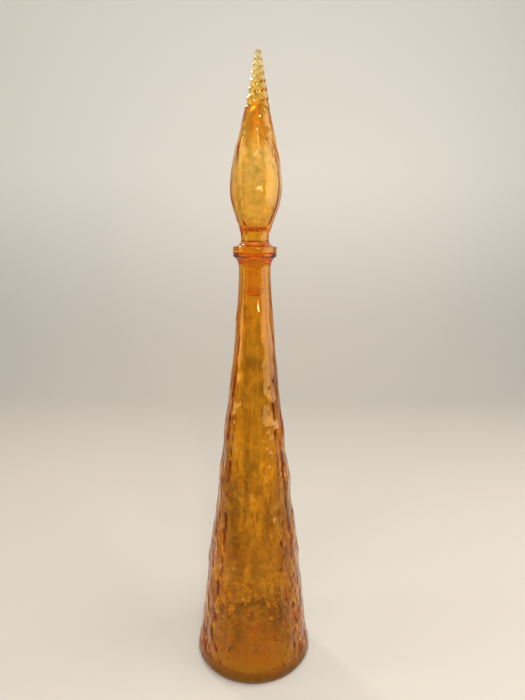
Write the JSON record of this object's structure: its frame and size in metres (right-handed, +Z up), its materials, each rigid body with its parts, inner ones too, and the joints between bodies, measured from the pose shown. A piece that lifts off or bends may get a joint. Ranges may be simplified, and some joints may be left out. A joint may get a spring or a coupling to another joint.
{
  "type": "glass bottle with stopper",
  "caption": "Tall cone-shaped amber glass bottle with a flared lip, and a hollow flame-shaped glass stopper with a twisted tip on a ribbed stem sleeve.",
  "frame": {"origin": "centre of the base, on the surface that the bottle stands on", "axes": "+Z up along the bottle's axis of symmetry, towards the stopper's tip; +X to the right of the pictured side; the viewer is on the -Y side"},
  "size_m": [0.1119, 0.112, 0.56],
  "materials": {
    "amber_glass": "blown amber glass, gloss, hammered texture on the bottle",
    "sleeve_plastic": "soft clear moulded plastic"
  },
  "bodies": {
    "bottle": {"bottle": "amber_glass"},
    "sleeve": {"stopper_sleeve": "sleeve_plastic"},
    "stopper": {"stopper": "amber_glass"}
  },
  "joints": [
    {"name": "stopper_lift", "type": "slide", "parent": "bottle", "child": "sleeve", "axis": [0, 0, 1], "range_m": [0, 0.08]},
    {"name": "stopper_twist", "type": "hinge", "parent": "sleeve", "child": "stopper", "pos_m": [0, 0, 0.376], "axis": [0, 0, 1], "continuous": true}
  ]
}
